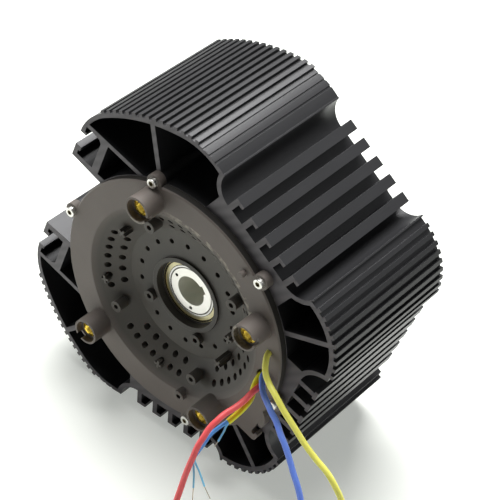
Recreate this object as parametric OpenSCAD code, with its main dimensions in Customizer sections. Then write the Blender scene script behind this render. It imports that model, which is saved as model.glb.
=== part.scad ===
/* [Housing] */
// Length of the extruded housing along the shaft
housing_l = 113.5; // [100:0.5:140]
// Bore of the housing, which grips the stator
bore_d = 172; // [168:0.5:176]
// Thickness of the round wall about the bore
wall_t = 5.6; // [5.2:0.1:6.4]
// Radius over the two large lobes, between their ribs
lobe_r = 134; // [132:0.5:136]
// Radius over the two small lobes, between their ribs
small_lobe_r = 129.6; // [128:0.2:131]
// Distance from the shaft's axis to the corners of a finned side
corner_d = 116; // [115:0.5:118]
// Half the width between the two corners of a finned side
corner_s = 46.8; // [46:0.2:48]
// Thickness of the skin over the large lobes
skin_t = 3; // [2.5:0.1:4]
// Thickness of the skin over the small lobes
small_skin_t = 3.4; // [2.8:0.1:4.2]
// Thickness of the radial webs inside the lobes
web_t = 3.7; // [3:0.1:5]

/* [Fins and ribs] */
// Thickness of a fin with a one-sided lip
fin_t = 3.9; // [3.2:0.1:4.6]
// Distance between the fins
fin_pitch = 14.2; // [13.4:0.1:14.6]
// Distance from the axis to the flat faces of the fins
fin_reach = 113.3; // [112:0.1:114.5]
// Distance from the axis to the floor between the lipped fins
fin_base = 102.3; // [101:0.1:103]
// Distance from the axis to the floor between the T-shaped fins
tee_base = 99; // [98:0.1:100]
// Width over a fin's head
head_w = 7.4; // [6.6:0.1:8]
// Thickness of a fin's head
head_t = 2.6; // [2:0.1:3.4]
// Width of a rib on the lobes
rib_w = 2.9; // [2.2:0.1:3.4]
// Height of a rib on the lobes
rib_h = 2.2; // [1.6:0.1:2.4]
// Distance between the ribs
rib_pitch = 5.7; // [5.2:0.1:6.4]

/* [T-slot rails] */
// Distance from the axis to the outer faces of the rails
rail_face = 111.6; // [110.5:0.1:113]
// Distance of each T-slot from the middle of the rail side
slot_offset = 54.4; // [54:0.1:55]
// Width of a T-slot's mouth
slot_mouth = 12.4; // [11:0.1:13]
// Width inside a T-slot
slot_w = 26.9; // [25:0.1:27.5]
// Thickness of a T-slot's lips
lip_t = 3.3; // [2.8:0.1:4]
// Depth of a T-slot, from the rail's face to its floor
slot_depth = 17.3; // [16:0.1:18]
// Thickness of the floor under a T-slot
slot_floor_t = 5.6; // [4:0.1:6]

/* [End covers] */
// Diameter of the covers
cover_d = 182.2; // [182:0.2:184]
// Thickness of a cover's flat rim
rim_t = 5.6; // [4.5:0.1:7]
// Radius at which the rim starts to slope inwards
rim_r = 71; // [70:0.2:72]
// Radius at which the slope ends in the flat floor of the dish
floor_r = 48.6; // [47:0.2:50]
// Depth of the dish below the rim
dish_depth = 15.3; // [14:0.1:16]
// Thickness of the dish's floor
plate_t = 4.4; // [4:0.1:4.8]
// Thickness of the dish's sloping wall, measured along the shaft
slope_t = 5; // [4.4:0.1:5.4]
// Diameter of the circle of six cover screws
screw_pcd = 186; // [185:0.5:187]
// Thread diameter of the cover screws
screw_d = 4; // [4:0.5:5]
// Length of the cover screws below their heads
screw_l = 16; // [14:1:18]
// Diameter of the small vent holes
vent_d = 4.2; // [3.4:0.1:4.8]
// Diameter of the round posts on the front cover
post_d = 8.2; // [7:0.1:8.6]
// Diameter of the blind hole in a round post
post_hole = 3.7; // [3:0.1:4.2]

/* [Fixing cups] */
// Outer diameter of the four cups on the front cover
cup_d = 18.8; // [18:0.1:20]
// Height of the cups above the rim
cup_h = 15.8; // [13:0.2:18]
// Outer diameter of the brass inserts
insert_d = 12.6; // [11.4:0.2:13.4]
// Length of the brass inserts
insert_l = 12; // [9:0.5:13]
// Core diameter of the insert's M8 thread
insert_bore = 6.8; // [6.6:0.1:7.1]

/* [Shaft and bearings] */
// Through bore of the hollow shaft
shaft_bore = 22; // [20:0.5:24]
// Width of the keyway in the shaft's bore
key_w = 6; // [5:0.5:8]
// Depth of the keyway
key_depth = 1.6; // [1.2:0.1:2.4]
// Distance of the shaft's front face behind the housing's front face
shaft_sink = 14; // [13:0.1:15]
// Diameter of a bearing ball
ball_d = 3.5; // [3.2:0.1:3.6]
// Number of balls in a bearing
balls = 18; // [14:1:20]

/* [Stator and rotor] */
// Length of the stator's stack of laminations
stack_l = 57.5; // [50:0.5:60]
// Width of a stator tooth
tooth_w = 13; // [12:0.2:14]
// Radius over the rotor's magnets
rotor_r = 50; // [49:0.2:51]
// Air gap between magnets and stator
air_gap = 0.8; // [0.6:0.1:1.2]
// Number of magnets
poles = 10; // [8:2:14]
// Thickness of the magnets
magnet_t = 4; // [3:0.2:5]
// Thickness of a winding beside its tooth
winding_t = 7; // [5:0.2:7.4]

/* [Wires] */
// Diameter of a phase wire
wire_d = 4.1; // [3.8:0.1:4.2]
// Diameter of the sensor leads' blue sleeve
sleeve_d = 2.6; // [2.3:0.1:2.7]
// Diameter of a thin sensor lead
lead_d = 1.3; // [1:0.1:1.6]

/* [Hidden] */
$fn = 64;

// Clearances: a turning fit, a piece dropped into its seat, and a cut that runs past a face
running_fit = 0.05;
seat_gap = 0.15;
past = 1;

// Housing section, drawn from the front in a frame whose first axis is the middle of the rail side;
// the section is then turned so that one finned side faces down and is level
wall_r = bore_d / 2 + wall_t;
side_a = 108;
lobe_a = 144;
tee_a = 180;
rail_turn = 270 - side_a;
rail_tangent_a = 41;
fin_tangent_a = 70.6;
fin_arc_r = 47;
small_arc_r = 46.6;
rail_arc_r = (rail_face - lobe_r * cos(rail_tangent_a)) / (1 - cos(rail_tangent_a));
rail_arc_c = (lobe_r - rail_arc_r) * along(rail_tangent_a);
fin_arc_c = (lobe_r - fin_arc_r) * along(fin_tangent_a);
small_arc_c = (small_lobe_r - small_arc_r) * along(lobe_a);
big_corner = corner_d * along(side_a) - corner_s * along(side_a + 90);
fin_arc_end = heading(big_corner - fin_arc_c);
small_corner = corner_d * along(side_a) + corner_s * along(side_a + 90);
small_half_a = lobe_a - heading(small_corner - small_arc_c);
tee_corner = corner_d * along(tee_a) - corner_s * along(tee_a + 90);
arc_overlap = 15;
arc_lap = 0.02;
end_overlap = 5;
inner_share = 0.97;
land_w = 1.6;
valley_r = 15.7;
tee_valley_r = 17.7;
valley_s = 30;
valley_wall = 3.4;
chamber_s = 37.6;
slot_in = slot_offset - slot_w / 2;
slot_out = slot_offset + slot_w / 2;
rail_side_t = 3.9;
rail_taper = 2;
rail_root = 8;
rail_web_in = slot_out;
rail_web_out = rail_web_in + 3.3;
slot_floor = rail_face - slot_depth;
nib_t = 1.7;
nib_w = 3.6;
big_web_a = 60;
groove_w = 1.5;
groove_depth = 0.7;

// Thin ball bearing 35 x 47 x 7
shaft_d = 35;
bearing_section = 6;
bearing_d = shaft_d + 2 * bearing_section;
bearing_w = 7;

// Places along the shaft, counted towards the front from the housing's front face
rear_face = -housing_l;
mid_plane = rear_face / 2;
dish_floor = rim_t - dish_depth;
dish_slope = dish_depth / (rim_r - floor_r);
bearing_front = -shaft_sink;
bearing_back = bearing_front - bearing_w;
lip_w = 2;
washer_t = 1;
boss_back = bearing_back - lip_w;
boss_wall = 5;
boss_r = bearing_d / 2 + boss_wall;
collar_h = 1.7;
collar_in_r = bearing_d / 2 + 1.2;
collar_out_r = collar_in_r + 3.2;
lip_r = bearing_d / 2 - 2.6;
spigot_r = bore_d / 2 - 0.03;
spigot_t = 6;
spigot_h = 3;
ear_r = 5.6;
screw_r = screw_pcd / 2;
screw_turns = [for (k = [0:5]) 42 + 60 * k];
head_r = screw_d * 0.88;
head_h = screw_d * 0.72;
head_edge = 0.5;
socket_w = screw_d * 0.75;
left_cup_r = 79.8;
right_cup_r = 76.8;
cups = [[left_cup_r, 103.9], [left_cup_r, 220.6], [right_cup_r, 301.8], [right_cup_r, 21.3]];
cup_wall = 1.5;
notch_turns = [340, 231, 0, 8];
notch_w = 4.4;
notch_depth = 4;
insert_sink = 4.8;
cup_top = rim_t + cup_h;
insert_back = cup_top - insert_sink - insert_l;
insert_floor_t = 2.4;

// Rotor and stator
teeth = 12;
stack_front = mid_plane + stack_l / 2;
stack_back = mid_plane - stack_l / 2;
insulator_t = 2;
stator_bore_r = rotor_r + air_gap;
tip_t = 3.2;
slot_in_r = stator_bore_r + tip_t;
yoke_t = 10;
yoke_r = bore_d / 2 - yoke_t;
slot_gap = 3;
winding_in_r = slot_in_r + 2.6;
winding_gap = 2.5;
winding_out_r = yoke_r - winding_gap;
winding_fit = 0.3;
winding_half_l = stack_l / 2 + insulator_t + winding_fit + winding_t;
winding_front = mid_plane + winding_half_l;
board_t = 1.6;
core_l = stack_l - 5;
core_front = mid_plane + core_l / 2;
core_back = mid_plane - core_l / 2;
shoulder_r = shaft_d / 2 + 2;
core_r = rotor_r - magnet_t;
sensor_front = boss_back - board_t;
sensor_t = 1.5;
sensor_gap = 0.9;
sensor_magnet_front = sensor_front - sensor_t - sensor_gap;
sensor_r = 30;
pitch_r = (shaft_d + bearing_d) / 4;
race_t = (bearing_d - shaft_d) / 4 - 1.2;
groove_r = ball_d / 2 + running_fit;

// Posts on the front cover: distance from the axis, turn, height of the top over the rim's back
tall_posts = [[57, 112.4], [57, 213.2], [57, 290.9], [57, 32.1]];
low_posts = [[32.8, 210], [32.8, 293]];
low_post_h = 4.4;
cross_posts = [[56.6, 146], [63, 195], [63, 260], [48.3, 324], [46, 357], [66, 60]];
cross_top = 3;
rim_posts = [[71.8, 281]];
rim_post_h = 4;
post_hole_l = 4;
pin_at = [84, 48];
pin_d = 4.4;
cross_w = 6.2;
cross_t = 1.6;
outer_vents_r = 61.8;
inner_vents_r = 53.7;
vent_groups = [[178, 178], [252.4, 256.4], [326.8, 326.8], [84, 84], [31, 31]];
vent_step = 7.4;
inner_vent_step = 9.8;
floor_vents_r = 39.6;
floor_vents_a = 152.2;

// Wire holes in the rim, seen from the front
yellow_exit = [81, 11];
lead_exit = [78.7, -11.4];
lead_hole_d = 11.4;

// Routes of the wires, from the connection board to the floor beside the motor
board_y = -shaft_sink - winding_front - board_t;
yellow_route = [[81, board_y, 11], [81, -8, 11], [81, -20.6, 11], [83, -25, 8], [86, -28.5, 4], [91, -31, 0],
    [99, -34, -3], [108, -36, -9], [119, -37, -17], [129, -38, -24], [138, -38, -30], [147, -38, -35],
    [154, -38, -42], [159, -37, -51], [163, -37, -62], [165, -38, -74], [167, -41, -86],
    [170, -47, -97], [175, -55, -106], [182, -64, -111], [190, -73, -112.5]];
blue_route = [[79.2, board_y, -8.6], [79.2, -8, -8.6], [79.2, -20.6, -8.6], [82.2, -25.5, -10.4],
    [86, -29, -13], [93, -33, -15], [99, -36, -17], [105, -38, -20], [111, -41, -24], [117, -43, -29],
    [123, -45, -36], [128, -47, -42], [134, -49, -49], [139, -51, -57], [143, -53, -66], [146, -56, -76],
    [148, -60, -86], [149, -66, -96], [149, -74, -105], [148, -84, -111], [147, -95, -112.5]];
red_route = [[80.8, board_y, -13.2], [80.8, -8, -13.2], [80.8, -20.6, -13.2], [80.4, -25.5, -14.6],
    [80, -32, -15.5], [80, -40, -17], [79, -47, -18.5], [77, -54, -20], [76, -60, -22], [74.5, -66, -26],
    [74, -71, -31], [73, -75, -37], [72.5, -78, -44], [71.5, -80, -51], [70.5, -82, -59],
    [70, -85, -69], [69, -88, -81], [69, -92, -93], [70, -98, -103], [72, -107, -110],
    [75, -118, -112.5]];
sleeve_route = [[76, board_y, -12.4], [76, -8, -12.4], [76, -20.6, -12.4], [76.4, -25.5, -16.9],
    [79.4, -32, -20.8], [80.2, -40, -23.4], [79.2, -46, -26], [78, -52, -28.4]];
inner_sleeve_route = [[77.9, -52.5, -27.8], [76, -58, -30], [74, -63, -33.5], [73, -69, -39.5],
    [71, -74, -47]];
lead_a_route = [[78.1, -51.7, -29.7], [78, -53.6, -30.9], [78.4, -56, -33.4], [78.3, -58.5, -36.2],
    [78.2, -61, -39], [78, -64, -41.5]];
lead_b_route = [[70.2, -74.1, -47.1], [70.5, -75.4, -49.4], [72.5, -77, -53], [75, -79, -60],
    [76.8, -81, -67], [77.5, -82, -77]];
lead_c_route = [[71.6, -74.3, -47.4], [72.1, -75.5, -49.5], [74, -76.3, -51.4], [77, -77, -54],
    [84, -79, -62], [90, -80, -68]];

// Coils of wire that is put away: centre, turn of the tail's start and turn of the tie
coil_r = 24;
coil_layers = 2;
tie_t = 1.2;
tie_w = 4;
lobe_drop = (lobe_r - fin_arc_r) * cos(side_a - fin_tangent_a) + fin_arc_r;
floor_z = -max(corner_d, lobe_drop);
coil_base = floor_z + tie_t + seat_gap;
coil_h = coil_layers * wire_d;
yellow_coil = [207.9, -57.1, 320, 60];
blue_coil = [170.9, -97.2, 275, 30];
red_coil = [98.2, -111.7, 235, 60];
tail_l = 20;
tail_dip = 9.3;
barrel_d = 6.2;
barrel_l = 9;
eye_d = 10.6;
eye_bore = 5.3;
eye_t = 1;

function along(a) = [cos(a), sin(a)];
function heading(v) = atan2(v[1], v[0]);

// Turns a drawing made from the front into the motor's own frame: its height runs along the shaft
module on_axis() {
    translate([0, -shaft_sink, 0]) rotate([90, 0, 0]) children();
}

module slab(from_z, to_z) {
    translate([0, 0, min(from_z, to_z)]) linear_extrude(abs(to_z - from_z)) children();
}

module at_polar(r, a) {
    rotate(a) translate([r, 0]) children();
}

module both_halves() {
    children();
    mirror([0, 1, 0]) children();
}

// Sector of a disc between two angles
module pie(r, from_a, to_a) {
    intersection() {
        circle(r, $fn = 96);
        polygon([[0, 0], 3 * r * along(from_a), 3 * r * along((from_a + to_a) / 2),
            3 * r * along(to_a)]);
    }
}

// Outline of one finned side without its fins: corners, concave valleys and a flat floor
module side_block(base) {
    polygon([[0, -past], [corner_d, -corner_s], [corner_d, -corner_s + land_w], [base, -valley_s],
        [base, valley_s], [corner_d, corner_s - land_w], [corner_d, corner_s], [0, past]]);
}

module valleys(base, r, wall) {
    for (k = [-1, 1])
        translate([base + r - 0.5, k * valley_s]) circle(r + wall, $fn = 96);
}

// Arcs that meet in a tangent lap over each other there, so no crack is left between their sectors
module large_lobe() {
    translate(rail_arc_c) pie(rail_arc_r + arc_lap, -arc_overlap, rail_tangent_a + arc_overlap);
    pie(lobe_r, rail_tangent_a, fin_tangent_a);
    translate(fin_arc_c) pie(fin_arc_r + arc_lap, fin_tangent_a - arc_overlap, fin_arc_end + end_overlap);
    polygon([[0, 0], fin_arc_c, inner_share * big_corner]);
}

module small_lobe() {
    end_a = small_half_a + end_overlap;
    translate(small_arc_c) pie(small_arc_r, lobe_a - end_a, lobe_a + end_a);
    polygon([[0, 0], inner_share * small_corner, small_arc_c]);
    polygon([[0, 0], small_arc_c, inner_share * tee_corner]);
}

// Rail block beside the lobe, in front of the round wall
module rail_block() {
    side = slot_in - rail_side_t;
    polygon([[0, 0], [wall_r - rail_root, side - rail_taper], [rail_face, side], [rail_face, rail_arc_c[1]],
        rail_arc_c]);
}

module t_slot() {
    mouth_in = slot_offset - slot_mouth / 2;
    mouth_out = slot_offset + slot_mouth / 2;
    lip = rail_face - lip_t;
    nib = lip - nib_t;
    polygon([[rail_face + past, mouth_in], [nib, mouth_in], [nib, mouth_in - nib_w], [lip, mouth_in - nib_w],
        [lip, slot_in], [slot_floor, slot_in], [slot_floor, slot_out - 3.2], [slot_floor + 2, slot_out - 0.9],
        [slot_floor + 8, slot_out], [lip, slot_out], [lip, mouth_out + nib_w / 1.5],
        [nib, mouth_out + nib_w / 1.5], [nib, mouth_out], [rail_face + past, mouth_out]]);
}

// Hollow of a large lobe, with its radial web and the walls of the rail left standing
module large_chambers() {
    difference() {
        intersection() {
            union() {
                translate(rail_arc_c) pie(rail_arc_r - skin_t + arc_lap, -90, rail_tangent_a + arc_overlap);
                pie(lobe_r - skin_t, rail_tangent_a, fin_tangent_a);
                translate(fin_arc_c)
                    pie(fin_arc_r - skin_t + arc_lap, fin_tangent_a - arc_overlap, 160);
            }
            translate([0, slot_in - past]) square(lobe_r);
            rotate(side_a) translate([-lobe_r, -2 * lobe_r - chamber_s]) square(2 * lobe_r);
        }
        circle(wall_r, $fn = 96);
        rotate(side_a) valleys(fin_base, valley_r, valley_wall);
        rotate(big_web_a) translate([0, -web_t / 2]) square([lobe_r, web_t]);
        translate([slot_floor - slot_floor_t, 0]) square([lobe_r, rail_web_out]);
        translate([0, rail_web_in]) square([lobe_r, rail_web_out - rail_web_in]);
    }
}

module small_chambers() {
    difference() {
        intersection() {
            translate(small_arc_c) circle(small_arc_r - small_skin_t, $fn = 96);
            rotate(side_a) translate([-lobe_r, chamber_s]) square(2 * lobe_r);
            rotate(tee_a) translate([-lobe_r, -2 * lobe_r - chamber_s]) square(2 * lobe_r);
        }
        circle(wall_r, $fn = 96);
        rotate(side_a) valleys(fin_base, valley_r, valley_wall);
        rotate(tee_a) valleys(tee_base, tee_valley_r, valley_wall);
        rotate(lobe_a) translate([0, -web_t / 2]) square([small_lobe_r, web_t]);
    }
}

module lipped_fins() {
    for (k = [-2:2])
        translate([0, k * fin_pitch - fin_t / 2]) {
            translate([fin_base - past, 0]) square([fin_reach - fin_base + past, fin_t]);
            translate([fin_reach - head_t, 0]) square([head_t, head_w]);
        }
}

module tee_fins() {
    for (k = [-2:2])
        translate([0, k * fin_pitch]) {
            translate([tee_base - past, -fin_t / 2]) square([fin_reach - tee_base + past, fin_t]);
            translate([fin_reach - head_t, -head_w / 2]) square([head_t, head_w]);
        }
}

// A rib stands on an arc of radius r; its foot goes into the skin
module rib(r, h = rib_h) {
    translate([r - skin_t / 2, -rib_w / 2]) square([h + skin_t / 2, rib_w]);
}

module large_lobe_ribs() {
    step = rib_pitch / lobe_r * 180 / PI;
    corner_step = rib_pitch / fin_arc_r * 180 / PI;
    for (a = [fin_tangent_a:-step:rail_tangent_a])
        rotate(a) rib(lobe_r);
    for (k = [1:2])
        translate(fin_arc_c) rotate(fin_tangent_a + k * corner_step) rib(fin_arc_r);
}

module small_lobe_ribs() {
    count = floor(small_half_a * PI / 180 * small_arc_r / rib_pitch + 0.5);
    step = small_half_a / count;
    for (k = [1 - count:count - 1])
        translate(small_arc_c) rotate(lobe_a + k * step) rib(small_arc_r);
}

// Shallow grooves take over from the ribs where a large lobe meets the finned side
module corner_grooves() {
    step = rib_pitch / fin_arc_r * 180 / PI;
    for (k = [3:5])
        translate(fin_arc_c) rotate(fin_tangent_a + k * step)
            translate([fin_arc_r - groove_depth, -groove_w / 2]) square([groove_depth + past, groove_w]);
}

module housing_section() {
    difference() {
        union() {
            difference() {
                union() {
                    circle(wall_r, $fn = 128);
                    rotate(tee_a) side_block(tee_base);
                    both_halves() {
                        rotate(side_a) side_block(fin_base);
                        large_lobe();
                        small_lobe();
                        rail_block();
                    }
                }
                both_halves() {
                    large_chambers();
                    small_chambers();
                    rotate(side_a) valleys(fin_base, valley_r, 0);
                }
                rotate(tee_a) valleys(tee_base, tee_valley_r, 0);
            }
            rotate(tee_a) tee_fins();
            both_halves() {
                rotate(side_a) lipped_fins();
                large_lobe_ribs();
                small_lobe_ribs();
            }
            for (k = [0:5])
                at_polar(screw_r, 60 * k) circle(ear_r);
        }
        circle(bore_d / 2, $fn = 128);
        both_halves() {
            t_slot();
            corner_grooves();
        }
    }
}

module housing() {
    color("#26252a") on_axis() difference() {
        slab(rear_face, 0) rotate(rail_turn) housing_section();
        for (a = screw_turns) {
            slab(-screw_l, past) at_polar(screw_r, a) circle(screw_d / 2 + running_fit);
            slab(rear_face - past, rear_face + screw_l) at_polar(screw_r, a)
                circle(screw_d / 2 + running_fit);
        }
    }
}

// Half section of a dished cover with its bearing seat, to be turned about the shaft
module cover_section(seat_extra) {
    seat_back = bearing_back - seat_extra;
    back_r = rim_r - (rim_t - slope_t) / dish_slope;
    polygon([[bearing_d / 2, bearing_front], [collar_in_r, bearing_front],
        [collar_in_r, dish_floor + collar_h], [collar_out_r, dish_floor + collar_h],
        [collar_out_r, dish_floor], [floor_r, dish_floor], [rim_r, rim_t], [cover_d / 2 - 1, rim_t],
        [cover_d / 2, rim_t - 1], [cover_d / 2, 0], [spigot_r, 0], [spigot_r, -spigot_h],
        [spigot_r - spigot_t, -spigot_h], [spigot_r - spigot_t, 0], [back_r, 0],
        [back_r - (plate_t - dish_floor) / dish_slope, dish_floor - plate_t],
        [boss_r, dish_floor - plate_t], [boss_r, seat_back - lip_w], [lip_r, seat_back - lip_w],
        [lip_r, seat_back], [bearing_d / 2, seat_back]]);
}

module cover_body(seat_extra) {
    rotate_extrude($fn = 128) cover_section(seat_extra);
    for (a = screw_turns)
        slab(0, rim_t) at_polar(screw_r, a) circle(ear_r);
}

module cover_screw_holes() {
    for (a = screw_turns)
        slab(-past, rim_t + past) at_polar(screw_r, a) circle(screw_d / 2 + seat_gap);
}

module vents() {
    for (g = vent_groups) {
        for (k = [-3:3])
            at_polar(outer_vents_r, g[0] + vent_step * k) circle(vent_d / 2, $fn = 24);
        for (k = [-2:2])
            at_polar(inner_vents_r, g[1] + inner_vent_step * k) circle(vent_d / 2, $fn = 24);
    }
    for (k = [0:17])
        at_polar(floor_vents_r, floor_vents_a - 20 * k) circle(vent_d / 2 - 0.2, $fn = 24);
}

function slope_z(r) = r > rim_r ? rim_t : max(dish_floor, rim_t - (rim_r - r) * dish_slope);

module round_post(r, a, top) {
    slab(slope_z(r + post_d / 2) - plate_t / 2, top) at_polar(r, a) circle(post_d / 2, $fn = 32);
}

module cross_post(r, a, top) {
    slab(slope_z(r + 2) - plate_t / 2, top) at_polar(r, a) {
        square([cross_w, cross_t], center = true);
        square([cross_t, cross_w], center = true);
    }
}

module post_hole(r, a, top) {
    slab(top - post_hole_l, top + past) at_polar(r, a) circle(post_hole / 2, $fn = 24);
}

// Open hook at the edge of the rim that holds the wires to the side, in parts of the cover's radius
module wire_hook() {
    slab(0, rim_t) scale(cover_d / 2) polygon([[0.659, -0.724], [0.751, -0.755], [0.782, -0.766],
        [0.812, -0.779], [0.839, -0.773], [0.856, -0.742], [0.862, -0.711], [0.844, -0.7],
        [0.823, -0.724], [0.807, -0.715], [0.806, -0.696], [0.83, -0.643], [0.852, -0.592],
        [0.865, -0.608], [0.89, -0.62], [0.913, -0.56], [0.907, -0.501], [0.883, -0.445]]);
}

module front_cover() {
    cup_floor = insert_back - insert_floor_t;
    color("#57524e") on_axis() difference() {
        union() {
            difference() {
                cover_body(0);
                slab(dish_floor - plate_t - past, rim_t + past) vents();
            }
            wire_hook();
            for (c = cups)
                slab(cup_floor, cup_top) at_polar(c[0], c[1]) circle(cup_d / 2);
            for (p = tall_posts)
                round_post(p[0], p[1], rim_t);
            for (p = low_posts)
                round_post(p[0], p[1], dish_floor + low_post_h);
            for (p = rim_posts)
                round_post(p[0], p[1], rim_t + rim_post_h);
            for (p = cross_posts)
                cross_post(p[0], p[1], cross_top);
            slab(rim_t - past, rim_t + rim_post_h) at_polar(pin_at[0], pin_at[1]) circle(pin_d / 2, $fn = 32);
        }
        cover_screw_holes();
        for (p = tall_posts)
            post_hole(p[0], p[1], rim_t);
        for (p = low_posts)
            post_hole(p[0], p[1], dish_floor + low_post_h);
        for (p = rim_posts)
            post_hole(p[0], p[1], rim_t + rim_post_h);
        for (k = [0:3]) {
            slab(cup_top - insert_sink, cup_top + past) at_polar(cups[k][0], cups[k][1])
                circle(cup_d / 2 - cup_wall);
            slab(insert_back, cup_top) at_polar(cups[k][0], cups[k][1]) circle(insert_d / 2);
            slab(cup_top - notch_depth, cup_top + past) translate(cups[k][0] * along(cups[k][1]))
                rotate(notch_turns[k]) translate([0, -notch_w / 2]) square([cup_d / 2 + past, notch_w]);
        }
        slab(-spigot_h - past, rim_t + past) {
            translate(yellow_exit) circle(wire_d / 2 + seat_gap);
            translate(lead_exit) circle(lead_hole_d / 2);
        }
    }
}

module rear_cover() {
    color("#57524e") on_axis() translate([0, 0, rear_face]) mirror([0, 0, 1]) difference() {
        cover_body(washer_t);
        cover_screw_holes();
    }
}

// Socket head screw with its head's seat at height zero and its shank below
module cap_screw() {
    difference() {
        union() {
            cylinder(r = head_r, h = head_h - head_edge);
            translate([0, 0, head_h - head_edge])
                cylinder(r1 = head_r, r2 = head_r - head_edge, h = head_edge);
            translate([0, 0, 1 - screw_l]) cylinder(r = screw_d / 2, h = screw_l - 1 + past / 2);
        }
        translate([0, 0, head_h / 2]) cylinder(d = socket_w / cos(30), h = head_h, $fn = 6);
    }
}

module front_screws() {
    color("#c9c7c2") on_axis()
        for (a = screw_turns)
            rotate(a) translate([screw_r, 0, rim_t]) cap_screw();
}

module rear_screws() {
    color("#c9c7c2") on_axis() translate([0, 0, rear_face]) mirror([0, 0, 1])
        for (a = screw_turns)
            rotate(a) translate([screw_r, 0, rim_t]) cap_screw();
}

module brass_inserts() {
    color("#c9a227") on_axis()
        for (c = cups)
            slab(insert_back, insert_back + insert_l) at_polar(c[0], c[1]) difference() {
                circle(insert_d / 2);
                circle(insert_bore / 2);
            }
}

// Slot between two stator teeth, centred on the first axis
module stator_slot() {
    half = 180 / teeth;
    h = tooth_w / 2;
    inner = slot_in_r * along(half) - h * along(half + 90);
    outer = yoke_r * along(half) - h * along(half + 90);
    polygon([inner, outer, [outer[0], -outer[1]], [inner[0], -inner[1]]]);
    translate([stator_bore_r - past, -slot_gap / 2]) square([tip_t + 3 * past, slot_gap]);
}

module lamination(outer_r) {
    difference() {
        circle(outer_r, $fn = 128);
        circle(stator_bore_r, $fn = 128);
        for (k = [0:teeth - 1])
            rotate((k + 0.5) * 360 / teeth) stator_slot();
    }
}

module stator_core() {
    color("#8d8f93") on_axis() slab(stack_back, stack_front) lamination(bore_d / 2);
}

module front_insulator() {
    color("#e6e1cf") on_axis() slab(stack_front, stack_front + insulator_t) lamination(yoke_r + 4);
}

module rear_insulator() {
    color("#e6e1cf") on_axis() slab(stack_back - insulator_t, stack_back) lamination(yoke_r + 4);
}

module round_rect(w, l, r) {
    square([w - 2 * r, l], center = true);
    square([w, l - 2 * r], center = true);
    for (x = [-1, 1], y = [-1, 1])
        translate([x * (w / 2 - r), y * (l / 2 - r)]) circle(r, $fn = 32);
}

// One coil of enamelled wire round one tooth, drawn flat and stood up along the tooth's radius
module tooth_winding(k) {
    window_w = tooth_w + 2 * winding_fit;
    window_l = stack_l + 2 * insulator_t + 2 * winding_fit;
    rotate(k * 360 / teeth) translate([winding_in_r, 0, mid_plane]) rotate([90, 0, 90])
        linear_extrude(winding_out_r - winding_in_r) difference() {
            round_rect(window_w + 2 * winding_t, window_l + 2 * winding_t, 6);
            round_rect(window_w, window_l, 0.8);
        }
}

// The four coils of a phase: two neighbouring teeth and the two across the shaft
module phase_windings(first) {
    color("#b8672f") on_axis()
        for (k = [0, 1, 6, 7])
            tooth_winding(first + k);
}

module windings_u() phase_windings(0);
module windings_v() phase_windings(2);
module windings_w() phase_windings(4);

module connection_board() {
    color("#1f4d33") on_axis() slab(winding_front, winding_front + board_t) difference() {
        circle(bore_d / 2 - 1.5);
        circle(winding_in_r + 2);
    }
}

module hall_board() {
    color("#1f4d33") on_axis() slab(boss_back, boss_back - board_t) difference() {
        circle(sensor_r + 7);
        circle(lip_r + 1);
    }
}

module hall_sensors() {
    color("#1d1d1f") on_axis()
        for (k = [-1:1])
            slab(sensor_front, sensor_front - sensor_t) at_polar(sensor_r, 90 + 24 * k)
                square([3, 4], center = true);
}

module sensor_magnet() {
    color("#3a3a3d") on_axis() slab(core_front, sensor_magnet_front) difference() {
        circle(sensor_r + 4);
        circle(sensor_r - 4);
    }
}

module rotor_core() {
    color("#8d8f93") on_axis() slab(core_back, core_front) difference() {
        circle(core_r);
        circle(shoulder_r);
        for (k = [0:poles / 2 - 1])
            at_polar((core_r + shoulder_r) / 2, k * 720 / poles) circle((core_r - shoulder_r) / 2 - 6);
    }
}

module magnets() {
    span = 360 / poles - 4;
    color("#a6a7a8") on_axis()
        for (k = [0:poles - 1])
            slab(core_back, core_front) difference() {
                rotate(k * 360 / poles) pie(rotor_r, -span / 2, span / 2);
                circle(core_r);
            }
}

module shaft() {
    key_turn = 32.8;
    half_l = -mid_plane - shaft_sink;
    color("#e3e2de") on_axis() difference() {
        translate([0, 0, mid_plane]) rotate_extrude($fn = 96) polygon([[shaft_bore / 2, -half_l],
            [shaft_d / 2 - 0.5, -half_l], [shaft_d / 2, 0.5 - half_l], [shaft_d / 2, bearing_w - half_l],
            [shoulder_r, bearing_w - half_l], [shoulder_r, half_l - bearing_w],
            [shaft_d / 2, half_l - bearing_w], [shaft_d / 2, half_l - 0.5], [shaft_d / 2 - 0.5, half_l],
            [shaft_bore / 2, half_l]]);
        slab(rear_face, 0) rotate(key_turn) translate([0, -key_w / 2])
            square([shaft_bore / 2 + key_depth, key_w]);
        for (k = [1, 2])
            slab(bearing_front - 8, bearing_front + past)
                at_polar((shaft_bore + shaft_d) / 4, key_turn + 120 * k) circle(1.3, $fn = 24);
    }
}

// Bearing pieces, drawn with the outer face at height zero and the width below it
module race(in_r, out_r) {
    rotate_extrude($fn = 96) difference() {
        translate([in_r, -bearing_w]) square([out_r - in_r, bearing_w]);
        translate([pitch_r, -bearing_w / 2]) circle(groove_r, $fn = 48);
    }
}

module outer_race() {
    color("#b9babb") race(bearing_d / 2 - race_t, bearing_d / 2);
}

module inner_race() {
    color("#b9babb") race(shaft_d / 2, shaft_d / 2 + race_t);
}

module ball_set() {
    color("#c8c9ca") for (k = [0:balls - 1])
        rotate(k * 360 / balls) translate([pitch_r, 0, -bearing_w / 2]) sphere(ball_d / 2);
}

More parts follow.
